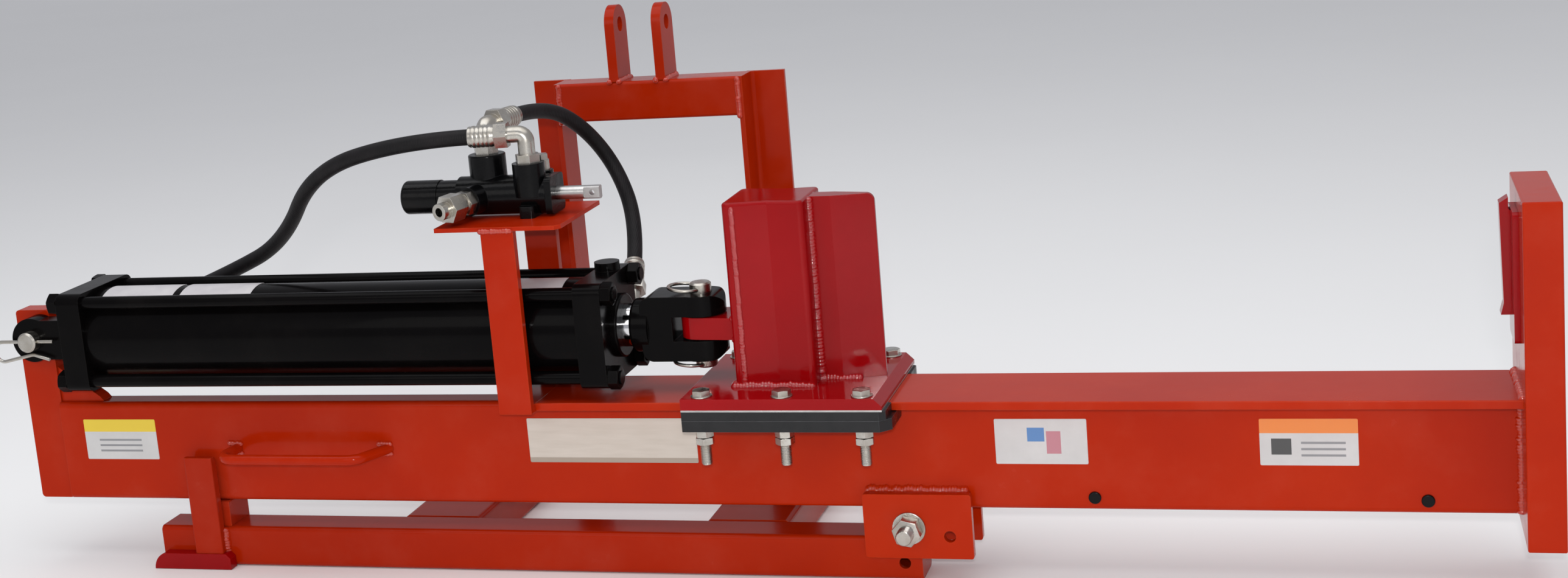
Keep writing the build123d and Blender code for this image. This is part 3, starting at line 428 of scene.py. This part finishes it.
low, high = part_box("long_decal")
material, tree, shader, x, z = vinyl("decal_plank_vinyl")
grain = noise(tree, 26.0, 6.0)
stretched = tree.nodes.new("ShaderNodeMapping")
stretched.inputs["Scale"].default_value = (0.12, 1.0, 1.0)
place = tree.nodes.new("ShaderNodeTexCoord")
tree.links.new(place.outputs["Object"], stretched.inputs["Vector"])
tree.links.new(stretched.outputs["Vector"], grain.node.inputs["Vector"])
grain.node.inputs["Scale"].default_value = 160.0
colour = mix_colour(tree, grain, (0.50, 0.44, 0.37), (0.66, 0.60, 0.53))
band = math_node(tree, "LESS_THAN", z, low.z + 0.006)
colour = mix_colour(tree, band, colour, (0.36, 0.30, 0.24))
tree.links.new(colour, shader.inputs["Base Color"])
finishes["decal_tan"] = material
print("decals", finishes["decal_white"].name, finishes["decal_tan"].name)

# %% [markdown]
# ## Put the finishes on the CAD nodes
# The record says which finish each node takes. The nodes' shapes are right, so only their slots change.

# %% Assign by the record's slots
for entry in frame["record"]["subparts"]:
    node = nodes[entry["node"]]
    node.data.materials.clear()
    node.data.materials.append(finishes[entry["material_slot"]])

# %% [markdown]
# ## Turned pieces
# Nuts, bolt heads, threads and ferrules are all turned shapes, round or six-sided. Each starts as one disc
# that is extruded and resized ring by ring, as on a lathe, standing on its own axis. The finished one is
# then moved in its mesh to its place, and copies get their own mesh.

# %% A lathe made of extrudes
def nothing_selected():
    if bpy.context.object and bpy.context.object.mode != "OBJECT":
        bpy.ops.object.mode_set(mode="OBJECT")
    bpy.ops.object.select_all(action="DESELECT")


def turned(name, rings, sides=32, smooth=35.0):
    nothing_selected()
    radius, height = rings[0]
    bpy.ops.mesh.primitive_circle_add(vertices=sides, radius=radius, fill_type="NGON",
                                      location=(0, 0, height))
    piece = bpy.context.object
    piece.name = name
    bpy.ops.object.mode_set(mode="EDIT")
    bpy.ops.mesh.select_all(action="SELECT")
    for new_radius, new_height in rings[1:]:
        bpy.ops.mesh.extrude_region_move(TRANSFORM_OT_translate={"value": (0, 0, new_height - height)})
        scale = new_radius / radius
        bpy.ops.transform.resize(value=(scale, scale, 1), center_override=(0, 0, new_height))
        radius, height = new_radius, new_height
    bpy.ops.mesh.select_all(action="SELECT")
    bpy.ops.mesh.normals_make_consistent(inside=False)
    bpy.ops.object.mode_set(mode="OBJECT")
    bpy.ops.object.transform_apply(location=True, rotation=True, scale=True)
    bpy.ops.object.shade_smooth_by_angle(angle=math.radians(smooth))
    return piece


def joined(name, parts):
    nothing_selected()
    for part in parts:
        part.select_set(True)
    bpy.context.view_layer.objects.active = parts[0]
    if len(parts) > 1:
        bpy.ops.object.join()
    piece = bpy.context.object
    piece.name = name
    return piece


def stood(piece, place, direction, spin=0.0):
    """A copy of a turned piece, moved in its mesh so that its axis stands at place along direction."""
    copy = bpy.data.objects.new(piece.name, piece.data.copy())
    bpy.context.scene.collection.objects.link(copy)
    facing = Vector(direction).to_track_quat("Z", "Y").to_matrix().to_4x4()
    copy.data.transform(Matrix.Translation(place) @ facing @ Matrix.Rotation(spin, 4, "Z"))
    return copy


def finished(piece, body, slot, *replaced, finish=None):
    piece.data.materials.clear()
    piece.data.materials.append(finishes[finish or slot])
    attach(piece, body)
    if replaced:
        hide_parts(*replaced)
    return piece


def thread(radius, start, length, pitch):
    """Rings of a cut thread along a stud."""
    turns = int(length / pitch)
    rings = []
    for turn_number in range(turns):
        height = start + turn_number * pitch
        rings += [(radius * 0.90, height), (radius, height + 0.5 * pitch)]
    return rings + [(radius * 0.88, start + length)]


print("lathe ready")

# %% [markdown]
# ## Nuts and bolts
# A real nut has its corners turned off at both faces, and a bolt head at its top. Six-sided lathe rings
# cannot cut that cone, so the hexagon is crossed with a short cone by a Boolean, as the factory does.

# %% Hexagon with turned corners
def hexagon(name, across, height, both=True):
    corner = across / 2 / math.cos(math.pi / 6)
    body = turned(name, [(corner, 0), (corner, height)], sides=6)
    drop = (corner - across / 2) * 0.55
    bottom = (across / 2 * 0.96, 0.0) if both else (corner * 1.02, 0.0)
    rings = [bottom, (corner * 1.02, drop if both else drop * 0.1), (corner * 1.02, height - drop),
             (across / 2 * 0.96, height)]
    cone = turned("cone", rings, sides=48)
    cut = body.modifiers.new("cone", "BOOLEAN")
    cut.operation = "INTERSECT"
    cut.solver = "EXACT"
    cut.object = cone
    nothing_selected()
    body.select_set(True)
    bpy.context.view_layer.objects.active = body
    bpy.ops.object.modifier_apply(modifier="cone")
    bpy.data.objects.remove(cone)
    bpy.ops.object.shade_smooth_by_angle(angle=math.radians(25))
    return body


# %% Carriage bolts and their double nuts
plate_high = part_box("slide_plate")[1]
bolt_low, bolt_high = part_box("slide_bolts")
nut_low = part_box("slide_nuts")[0]
HEX_ACROSS, WASHER_T, NUT_STEP = 0.0190, 0.0016, 0.0086
half_head = HEX_ACROSS / 2 / math.cos(math.pi / 6)
middle_x = (bolt_low.x + bolt_high.x) / 2 + 0.001
columns = [bolt_low.x + half_head, middle_x, bolt_high.x - half_head]
rows = [bolt_low.y + HEX_ACROSS / 2, bolt_high.y - HEX_ACROSS / 2]

head = hexagon("head", HEX_ACROSS, bolt_high.z - plate_high.z - WASHER_T, both=False)
washer = turned("washer", [(0.0118, 0), (0.0122, 0.0003), (0.0122, 0.0013), (0.0118, WASHER_T)])
shank = turned("shank", [(0.0056, bolt_low.z), (0.0061, bolt_low.z + 0.0012)]
               + thread(0.00635, bolt_low.z + 0.0014, nut_low.z - bolt_low.z, 0.0019)
               + [(0.0060, plate_high.z)], sides=20)
nut = hexagon("nut", HEX_ACROSS, 0.0082)
random.seed(4)
bolts, nuts = [], []
for x in columns:
    for y in rows:
        spin = random.uniform(0, math.pi / 3)
        bolts += [stood(head, (x, y, plate_high.z + WASHER_T), (0, 0, 1), spin),
                  stood(washer, (x, y, plate_high.z), (0, 0, 1)),
                  stood(shank, (x, y, 0), (0, 0, 1))]
        for lift in (0.0, NUT_STEP):
            nuts.append(stood(nut, (x, y, nut_low.z + lift), (0, 0, 1), random.uniform(0, math.pi / 3)))
for made in (head, washer, shank):
    bpy.data.objects.remove(made)
finished(joined("carriage_bolts", bolts), "ram", "zinc_steel", "slide_bolts")
finished(joined("carriage_nuts", nuts), "ram", "zinc_steel", "slide_nuts")
print("carriage bolts", len(bolts) // 3)

# %% [markdown]
# ## Tie-rod nuts and the tilt bolt
# The cylinder's four tie rods end in plain hexagon nuts on both caps, and the beam tilts on one big bolt
# whose threaded end stands out of its nut on the near side.

# %% Tie-rod nuts
rod_low, rod_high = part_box("tie_rods")
low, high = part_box("tie_nuts")
TIE_R, TIE_NUT_T = 0.00795, 0.0130
tie_y = rod_high.y - TIE_R
tie_mid = (rod_low.z + rod_high.z) / 2
tie_z = rod_high.z - tie_mid - TIE_R
big_nut = hexagon("big_nut", 0.0240, TIE_NUT_T)
tie_nuts = []
for x in (low.x, high.x - TIE_NUT_T):
    for side_y in (-1, 1):
        for side_z in (-1, 1):
            place = (x, side_y * tie_y, tie_mid + side_z * tie_z)
            tie_nuts.append(stood(big_nut, place, (1, 0, 0), random.uniform(0, math.pi / 3)))
bpy.data.objects.remove(big_nut)
finished(joined("tie_rod_nuts", tie_nuts), "beam", "cylinder_black", "tie_nuts")

# %% Tilt bolt and nut
low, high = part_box("pivot_bolt")
nut_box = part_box("pivot_nut")
centre_x = (low.x + high.x) / 2
centre_z = (low.z + high.z) / 2
stem = turned("stem", [(0.0080, 0), (0.0092, 0.0016)] + thread(0.00952, 0.0018, 0.050, 0.0024)
              + [(0.00952, 0.056), (0.00952, high.y - low.y - 0.0005)], sides=24)
bolt_head = hexagon("bolt_head", 0.0286, 0.0118, both=False)
tilt = [stood(stem, (centre_x, low.y, centre_z), (0, 1, 0)),
        stood(bolt_head, (centre_x, high.y - 0.012, centre_z), (0, 1, 0))]
tilt_nut = hexagon("tilt_nut", 0.0286, 0.0170)
tilt_washer = turned("tilt_washer", [(0.0186, 0), (0.0190, 0.0004), (0.0190, 0.0026), (0.0186, 0.0030)])
parts = [stood(tilt_nut, (centre_x, nut_box[1].y - 0.003, centre_z), (0, -1, 0), 0.3),
         stood(tilt_washer, (centre_x, nut_box[1].y, centre_z), (0, -1, 0))]
for made in (stem, bolt_head, tilt_nut, tilt_washer, nut):
    bpy.data.objects.remove(made)
finished(joined("tilt_bolt", tilt), "beam", "zinc_steel", "pivot_bolt")
finished(joined("tilt_bolt_nut", parts), "beam", "zinc_steel", "pivot_nut")
print("tilt bolt", round(high.y - low.y, 3), "long")

# %% [markdown]
# ## Crimped ferrules
# A hose end is a steel sleeve pressed on in a die, which leaves a row of grooves. The lathe rings of one
# ferrule are stood at the start and end of each hose, so that the hose leaves its mouth.

# %% Ferrules
FERRULE = 0.032
grooves = [(0.0098, 0), (0.0118, 0.0006), (0.0122, 0.0026)]
for number in range(5):
    start_height = 0.0040 + number * 0.0050
    grooves += [(0.0129, start_height), (0.0129, start_height + 0.0028), (0.0121, start_height + 0.0038)]
grooves += [(0.0125, FERRULE - 0.0022), (0.0118, FERRULE - 0.0004), (0.0100, FERRULE)]
ferrule = turned("ferrule", grooves, sides=40, smooth=50)
ferrules = []
for route in (base_route, head_route):
    for tip, following in ((route[0], route[1]), (route[-1], route[-2])):
        way = (Vector(following) - Vector(tip)).normalized()
        ferrules.append(stood(ferrule, Vector(tip) - way * FERRULE, way))
bpy.data.objects.remove(ferrule)
finished(joined("crimped_ferrules", ferrules), "beam", "zinc_steel", "hose_ferrules")
print("ferrules", len(ferrules))

# %% [markdown]
# ## Weld beads
# A MIG bead is a row of overlapping puddles that froze one after another. A squashed sphere repeated with
# an Array modifier is exactly that, and its little irregularities come from moving points by a seeded
# random amount. Each bead is painted with the steel it joins.

# %% A bead between two points
def bead(name, first, last, width=0.0055, height=0.0030, up=(0, 0, 1), step=0.0036):
    first, last = Vector(first), Vector(last)
    run = last - first
    count = max(3, int(run.length / step))
    nothing_selected()
    bpy.ops.mesh.primitive_uv_sphere_add(segments=8, ring_count=6, radius=1)
    piece = bpy.context.object
    piece.name = name
    bpy.ops.object.mode_set(mode="EDIT")
    bpy.ops.mesh.select_all(action="SELECT")
    bpy.ops.transform.resize(value=(step * 1.05, width, height), center_override=(0, 0, 0))
    bpy.ops.object.mode_set(mode="OBJECT")
    row = piece.modifiers.new("row", "ARRAY")
    row.count = count
    row.use_relative_offset = False
    row.use_constant_offset = True
    row.constant_offset_displace = (run.length / count, 0, 0)
    bpy.ops.object.modifier_apply(modifier="row")
    chance = random.Random(name)
    wobble = 0.0
    for index, vertex in enumerate(piece.data.vertices):
        if index % 42 == 0:
            wobble = chance.uniform(-1, 1)
        vertex.co.y += wobble * width * 0.12
        vertex.co.z *= 1 + 0.24 * wobble
    along_run = run.normalized()
    side = Vector(up).cross(along_run).normalized()
    top = along_run.cross(side)
    axes = Matrix((along_run, side, top)).transposed().to_4x4()
    piece.data.transform(Matrix.Translation(first) @ axes)
    bpy.ops.object.shade_smooth()
    return piece


# %% Beads on the carriage
wedge_low, wedge_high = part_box("wedge_body")
blade_low, blade_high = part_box("wedge_blade")
tongue_low, tongue_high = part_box("tongue")
near, far = wedge_low.y + 0.001, wedge_high.y - 0.001
foot = wedge_low.z
front_x, back_x, seam_x = wedge_high.x, wedge_low.x, wedge_low.x + 0.0125
blade_top = blade_high.z
beads = [bead("box_foot_near", (back_x, near, foot), (front_x, near, foot), 0.006, 0.0055),
         bead("box_foot_far", (back_x, far, foot), (front_x, far, foot), 0.006, 0.0055),
         bead("box_foot_back", (back_x, near, foot), (back_x, far, foot), 0.006, 0.0055)]
for name, y, out in (("blade_near", blade_low.y, -1), ("blade_far", blade_high.y, 1)):
    beads.append(bead(name, (front_x, y, foot), (front_x, y, blade_top), 0.0065, 0.005, up=(1, out, 0),
                      step=0.0042))
beads.append(bead("rear_seam_near", (seam_x, wedge_low.y, foot + 0.004),
                  (seam_x, wedge_low.y, wedge_high.z - 0.004), 0.0035, 0.0016, up=(0, -1, 0)))
for name, z, out in (("tongue_top", tongue_high.z, 1), ("tongue_under", tongue_low.z, -1)):
    beads.append(bead(name, (back_x, tongue_low.y, z), (back_x, tongue_high.y, z), 0.005, 0.004,
                      up=(-1, 0, out)))
for y in (blade_low.y, blade_high.y):
    beads.append(bead(f"blade_foot_{y:.3f}", (front_x, y, foot), (blade_high.x - 0.025, y, foot), 0.005,
                      0.0045))
finished(joined("carriage_welds", beads), "ram", "crimson_paint", finish="crimson_bead")
print("carriage beads", len(beads))

# %% Beads on the beam
tube_low, tube_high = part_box("beam_tube")
post_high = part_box("cylinder_post")[1]
end_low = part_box("end_plate")[0]
wear_low, wear_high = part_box("wear_plate")
legs_low, legs_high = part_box("valve_legs")
shelf_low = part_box("valve_shelf")[0]
plates_low, plates_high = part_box("pivot_brackets")
handle_low, handle_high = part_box("lift_handle")
beads = []
for side in (-1, 1):
    post_y, tube_y, leg_y = side * post_high.y, side * tube_high.y, side * legs_high.y
    seam_y, wear_y = side * (tube_high.y - 0.001), side * (wear_high.y - 0.002)
    bottom = tube_low.z + 0.004
    beads += [bead(f"post_seam_{side}", (tube_low.x, post_y, bottom), (tube_low.x, post_y, tube_high.z),
                   0.0045, 0.003, up=(-1, side, 0)),
              bead(f"end_seam_{side}", (end_low.x, seam_y, bottom), (end_low.x, seam_y, tube_high.z),
                   0.006, 0.005, up=(-1, side, 0)),
              bead(f"end_foot_{side}", (end_low.x, side * 0.004, wear_high.z),
                   (end_low.x, wear_y, wear_high.z), 0.006, 0.005, up=(-1, 0, 1)),
              bead(f"bracket_top_{side}", (plates_low.x + 0.004, tube_y, plates_high.z),
                   (plates_high.x - 0.004, tube_y, plates_high.z), 0.0065, 0.0055, up=(0, side, 1)),
              bead(f"shelf_{side}", (legs_low.x, leg_y, shelf_low.z), (legs_high.x, leg_y, shelf_low.z),
                   0.004, 0.003, up=(0, side, -1)),
              bead(f"wear_under_{side}", (wear_low.x, tube_y, tube_high.z), (end_low.x, tube_y, tube_high.z),
                   0.004, 0.0035, up=(0, side, -1), step=0.0045)]
for x in (handle_low.x + 0.0075, handle_high.x - 0.0095):
    for name, z, out in (("top", handle_high.z, 1), ("under", handle_low.z, -1)):
        beads.append(bead(f"handle_{name}_{x:.2f}", (x - 0.009, -tube_high.y, z),
                          (x + 0.009, -tube_high.y, z), 0.004, 0.0035, up=(0, -1, out)))
finished(joined("beam_welds", beads), "beam", "beam_paint", finish="red_bead")
print("beam beads", len(beads))

# %% Beads on the base frame
posts_low, posts_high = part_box("rest_posts")
rail_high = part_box("base_rail")[1]
bar_low, bar_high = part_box("arch_crossbar")
lugs_low, lugs_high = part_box("top_link_lugs")
members_low, members_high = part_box("cross_members")
beads = []
for side in (-1, 1):
    y = side * rail_high.y
    for name, x, out in (("post_right", posts_high.x, 1), ("post_left", posts_low.x, -1)):
        beads.append(bead(f"{name}_{side}", (x, y, posts_low.z), (x, y, rail_high.z), 0.006, 0.005,
                          up=(out, side, 0)))
for x in (bar_low.x, bar_high.x):
    corner = (x, bar_low.y, bar_low.z)
    beads += [bead(f"corner_front_{x:.2f}", corner, (x, bar_low.y, bar_high.z), 0.004, 0.002, up=(0, -1, 0)),
              bead(f"corner_under_{x:.2f}", corner, (x, bar_high.y, bar_low.z), 0.004, 0.004, up=(0, 0, -1))]
LUG_T, MEMBER_W = 0.0127, 0.1016
for x in (lugs_low.x, lugs_low.x + LUG_T, lugs_high.x - LUG_T, lugs_high.x):
    beads.append(bead(f"lug_{x:.3f}", (x, lugs_low.y, bar_high.z), (x, lugs_high.y, bar_high.z),
                      0.0045, 0.004))
for x in (members_low.x, members_low.x + MEMBER_W, members_high.x - MEMBER_W, members_high.x):
    beads += [bead(f"member_{x:.3f}", (x, rail_high.y, 0.006), (x, rail_high.y, rail_high.z - 0.004),
                   0.005, 0.004, up=(0, 1, 0)),
              bead(f"hitch_{x:.3f}", (x, bar_low.y, rail_high.z), (x, bar_high.y, rail_high.z),
                   0.0045, 0.004)]
finished(joined("frame_welds", beads), "base_frame", "frame_paint", finish="red_bead")
print("frame beads", len(beads))

# %% [markdown]
# ## Cylinder labels
# Three printed labels lie on top of the barrel. Each is a thin strip of the barrel's own curve, cut from a
# cylinder a hair larger, so it follows the steel and casts no shadow of its own.

# %% Cylinder labels
tube_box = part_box("cylinder_tube")
barrel_r = (tube_box[1].z - tube_box[0].z) / 2
barrel_z = (tube_box[1].z + tube_box[0].z) / 2
LABEL_T = 0.0003


def label(name, start_x, length, from_angle, to_angle, finish):
    nothing_selected()
    bpy.ops.mesh.primitive_cylinder_add(vertices=96, radius=barrel_r + LABEL_T, depth=length,
                                        end_fill_type="NOTHING", location=(start_x + length / 2, 0, barrel_z),
                                        rotation=(0, math.pi / 2, 0))
    piece = bpy.context.object
    piece.name = name
    bpy.ops.object.transform_apply(location=True, rotation=True, scale=True)
    bpy.ops.object.mode_set(mode="EDIT")
    bpy.ops.mesh.select_mode(type="FACE")
    bpy.ops.mesh.select_all(action="DESELECT")
    bpy.ops.object.mode_set(mode="OBJECT")
    for polygon in piece.data.polygons:
        angle = math.atan2(polygon.center.y, polygon.center.z - barrel_z)
        polygon.select = not math.radians(from_angle) < angle < math.radians(to_angle)
    bpy.ops.object.mode_set(mode="EDIT")
    bpy.ops.mesh.delete(type="FACE")
    bpy.ops.object.mode_set(mode="OBJECT")
    wall = piece.modifiers.new("wall", "SOLIDIFY")
    wall.thickness = LABEL_T
    wall.offset = 1
    bpy.ops.object.modifier_apply(modifier="wall")
    bpy.ops.object.shade_smooth_by_angle(angle=math.radians(40))
    piece.data.materials.append(finish)
    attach(piece, "beam")
    return piece


material, tree, shader = new_material("label_paper")
speckle = place_group(tree, film_group, Scale=30.0, Low=0.3, High=0.7)
tree.links.new(mix_colour(tree, speckle.outputs["Mask"], (0.62, 0.60, 0.60), (0.50, 0.48, 0.50)),
               shader.inputs["Base Color"])
shader.inputs["Roughness"].default_value = 0.35
label("cylinder_label_rear", tube_box[0].x + 0.012, 0.098, -42, 12, material)
label("cylinder_label_middle", tube_box[0].x + 0.120, 0.097, -42, 12, material)
label("cylinder_label_front", tube_box[1].x - 0.110, 0.085, -38, 0, material)
print("labels on a barrel of radius", round(barrel_r, 4))

# %% [markdown]
# ## Floor and lights
# A pale floor and a pale room give the enamel something to mirror. The main light is broad and high, a
# second one fills the near side, and a small one beside the camera leaves bright sparks along the weld
# beads, as a flash does on wet-looking paint.

# %% Floor
nothing_selected()
bpy.ops.mesh.primitive_plane_add(size=60, location=(0.2, 0, cad_box[0].z - 0.0005))
floor = bpy.context.object
floor.name = "floor"
material, tree, shader = new_material("pale_floor")
tone = place_group(tree, film_group, Scale=0.7, Low=0.2, High=0.8)
tree.links.new(mix_colour(tree, tone.outputs["Mask"], (0.93, 0.93, 0.92), (0.96, 0.96, 0.95)),
               shader.inputs["Base Color"])
shader.inputs["Roughness"].default_value = 0.6
floor.data.materials.append(material)

# %% Lights
world = bpy.data.worlds.new("room")
world.use_nodes = True
world.node_tree.nodes["Background"].inputs["Color"].default_value = (0.93, 0.94, 1.0, 1)
world.node_tree.nodes["Background"].inputs["Strength"].default_value = 0.50
bpy.context.scene.world = world
bpy.context.scene.view_settings.view_transform = "Standard"


def area_light(name, place, aim, size, power, colour=(1, 1, 1)):
    data = bpy.data.lights.new(name, "AREA")
    data.shape = "RECTANGLE"
    data.size, data.size_y = size
    data.energy = power
    data.color = colour
    light = bpy.data.objects.new(name, data)
    light.location = place
    light.rotation_mode = "QUATERNION"
    light.rotation_quaternion = (Vector(aim) - Vector(place)).to_track_quat("-Z", "Y")
    bpy.context.scene.collection.objects.link(light)
    return light


area_light("ceiling", (0.2, -0.4, 3.6), (0.2, 0.0, 0.2), (5.0, 3.0), 76)
area_light("fill", (-0.6, -3.2, 1.8), (0.2, 0.0, 0.3), (2.4, 1.4), 14, (1.0, 0.97, 0.93))
area_light("flash", (0.99, -2.35, 1.02), (0.3, 0.0, 0.25), (0.09, 0.06), 20)
